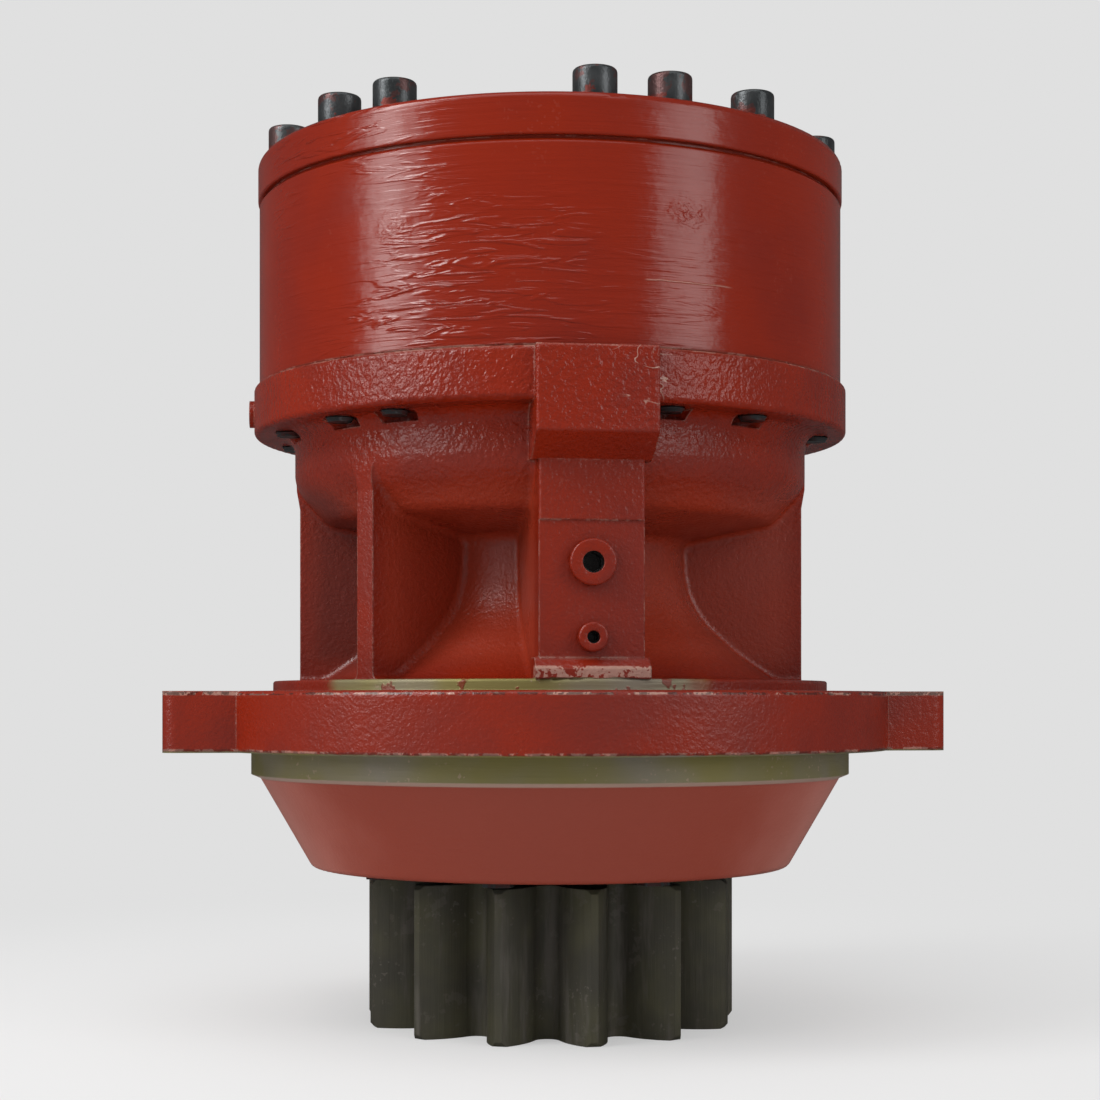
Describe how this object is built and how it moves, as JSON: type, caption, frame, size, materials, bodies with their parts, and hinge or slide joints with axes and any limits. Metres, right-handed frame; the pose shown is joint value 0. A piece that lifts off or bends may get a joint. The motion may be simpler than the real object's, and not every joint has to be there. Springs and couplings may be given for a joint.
{
  "type": "swing gearbox",
  "caption": "Swing gearbox: two-stage planetary reducer in a ribbed red casting with an eared mounting flange, an output pinion below and a motor seat on top.",
  "frame": {"origin": "on the gearbox axis at the underside of the mounting flange, where it seats on the machine's deck", "axes": "+Z along the gearbox axis, up towards the motor; -Y towards the pad with the two plugs; X through the two ears of the flange"},
  "size_m": [0.452, 0.408, 0.5275],
  "materials": {
    "red_paint_cast": "glossy brick-red enamel over a cast surface",
    "red_paint_turned": "glossy brick-red enamel over a turned surface",
    "oiled_pinion_steel": "hobbed steel, dark, oiled and lightly worn",
    "black_oxide_steel": "black oxide",
    "plug_paint": "painted over with the casting",
    "copper_washer": "soft sealing washer, painted over at its rim",
    "bearing_steel": "ground and polished",
    "cage_brass": "machined",
    "gear_steel": "case hardened, ground teeth, oiled",
    "carrier_iron": "machined ductile iron, oiled",
    "pin_steel": "ground",
    "bush_bronze": "bearing bronze",
    "seal_rubber": "nitrile rubber"
  },
  "bodies": {
    "housing": {"lower_housing": "red_paint_cast", "ring_gear": "red_paint_turned", "top_cover": "red_paint_turned", "cover_screws": "black_oxide_steel", "dowel_pins": "bearing_steel", "lower_o_ring": "seal_rubber", "upper_o_ring": "seal_rubber", "drain_plug": "plug_paint", "level_plug": "plug_paint", "drain_plug_washer": "copper_washer", "level_plug_washer": "copper_washer", "seal_retainer": "pin_steel", "retainer_screws": "black_oxide_steel", "oil_seal": "seal_rubber", "lower_bearing_outer_ring": "bearing_steel", "upper_bearing_outer_ring": "bearing_steel"},
    "output": {"pinion_shaft": "oiled_pinion_steel", "seal_sleeve": "bearing_steel", "spacer_sleeve": "pin_steel", "bearing_locknut": "pin_steel", "end_plate": "pin_steel", "end_screws": "black_oxide_steel", "lower_bearing_inner_ring": "bearing_steel", "upper_bearing_inner_ring": "bearing_steel", "second_carrier": "carrier_iron", "second_planet_pins": "pin_steel", "second_thrust_washers": "bush_bronze", "second_retaining_rings": "pin_steel", "output_thrust_disc": "bush_bronze"},
    "middle": {"first_carrier": "carrier_iron", "first_planet_pins": "pin_steel", "first_thrust_washers": "bush_bronze", "first_retaining_rings": "pin_steel", "second_sun": "gear_steel", "input_thrust_disc": "bush_bronze"},
    "input": {"input_sun": "gear_steel"},
    "lower_bearing_set": {"lower_bearing_rollers": "bearing_steel", "lower_bearing_cage": "cage_brass"},
    "upper_bearing_set": {"upper_bearing_rollers": "bearing_steel", "upper_bearing_cage": "cage_brass"},
    "second_planet_1_set": {"second_planet_1": "gear_steel", "second_planet_bush_1": "bush_bronze"},
    "second_planet_2_set": {"second_planet_2": "gear_steel", "second_planet_bush_2": "bush_bronze"},
    "second_planet_3_set": {"second_planet_3": "gear_steel", "second_planet_bush_3": "bush_bronze"},
    "first_planet_1_set": {"first_planet_1": "gear_steel", "first_planet_bush_1": "bush_bronze"},
    "first_planet_2_set": {"first_planet_2": "gear_steel", "first_planet_bush_2": "bush_bronze"},
    "first_planet_3_set": {"first_planet_3": "gear_steel", "first_planet_bush_3": "bush_bronze"}
  },
  "joints": [
    {"name": "pinion_spin", "type": "hinge", "parent": "housing", "child": "output", "pos_m": [0, 0, 0], "axis": [0, 0, 1], "continuous": true},
    {"name": "middle_spin", "type": "hinge", "parent": "housing", "child": "middle", "pos_m": [0, 0, 0.27], "axis": [0, 0, 1], "continuous": true},
    {"name": "input_spin", "type": "hinge", "parent": "housing", "child": "input", "pos_m": [0, 0, 0.3], "axis": [0, 0, 1], "continuous": true},
    {"name": "lower_cage_spin", "type": "hinge", "parent": "housing", "child": "lower_bearing_set", "pos_m": [0, 0, -0.012], "axis": [0, 0, 1], "continuous": true},
    {"name": "upper_cage_spin", "type": "hinge", "parent": "housing", "child": "upper_bearing_set", "pos_m": [0, 0, 0.152], "axis": [0, 0, 1], "continuous": true},
    {"name": "second_planet_1_spin", "type": "hinge", "parent": "output", "child": "second_planet_1_set", "pos_m": [0, 0.08775, 0.245], "axis": [0, 0, 1], "continuous": true},
    {"name": "second_planet_2_spin", "type": "hinge", "parent": "output", "child": "second_planet_2_set", "pos_m": [-0.07599, -0.04387, 0.245], "axis": [0, 0, 1], "continuous": true},
    {"name": "second_planet_3_spin", "type": "hinge", "parent": "output", "child": "second_planet_3_set", "pos_m": [0.07599, -0.04387, 0.245], "axis": [0, 0, 1], "continuous": true},
    {"name": "first_planet_1_spin", "type": "hinge", "parent": "middle", "child": "first_planet_1_set", "pos_m": [0, 0.081, 0.298], "axis": [0, 0, 1], "continuous": true},
    {"name": "first_planet_2_spin", "type": "hinge", "parent": "middle", "child": "first_planet_2_set", "pos_m": [-0.07015, -0.0405, 0.298], "axis": [0, 0, 1], "continuous": true},
    {"name": "first_planet_3_spin", "type": "hinge", "parent": "middle", "child": "first_planet_3_set", "pos_m": [0.07015, -0.0405, 0.298], "axis": [0, 0, 1], "continuous": true}
  ],
  "couplings": [
    {"joint": "middle_spin", "follows": "pinion_spin", "ratio": 3.7143},
    {"joint": "input_spin", "follows": "pinion_spin", "ratio": 17.829},
    {"joint": "lower_cage_spin", "follows": "pinion_spin", "ratio": 0.44194},
    {"joint": "upper_cage_spin", "follows": "pinion_spin", "ratio": 0.44},
    {"joint": "second_planet_1_spin", "follows": "pinion_spin", "ratio": -3.1667},
    {"joint": "second_planet_2_spin", "follows": "pinion_spin", "ratio": -3.1667},
    {"joint": "second_planet_3_spin", "follows": "pinion_spin", "ratio": -3.1667},
    {"joint": "first_planet_1_spin", "follows": "pinion_spin", "ratio": -10.082},
    {"joint": "first_planet_2_spin", "follows": "pinion_spin", "ratio": -10.082},
    {"joint": "first_planet_3_spin", "follows": "pinion_spin", "ratio": -10.082}
  ]
}
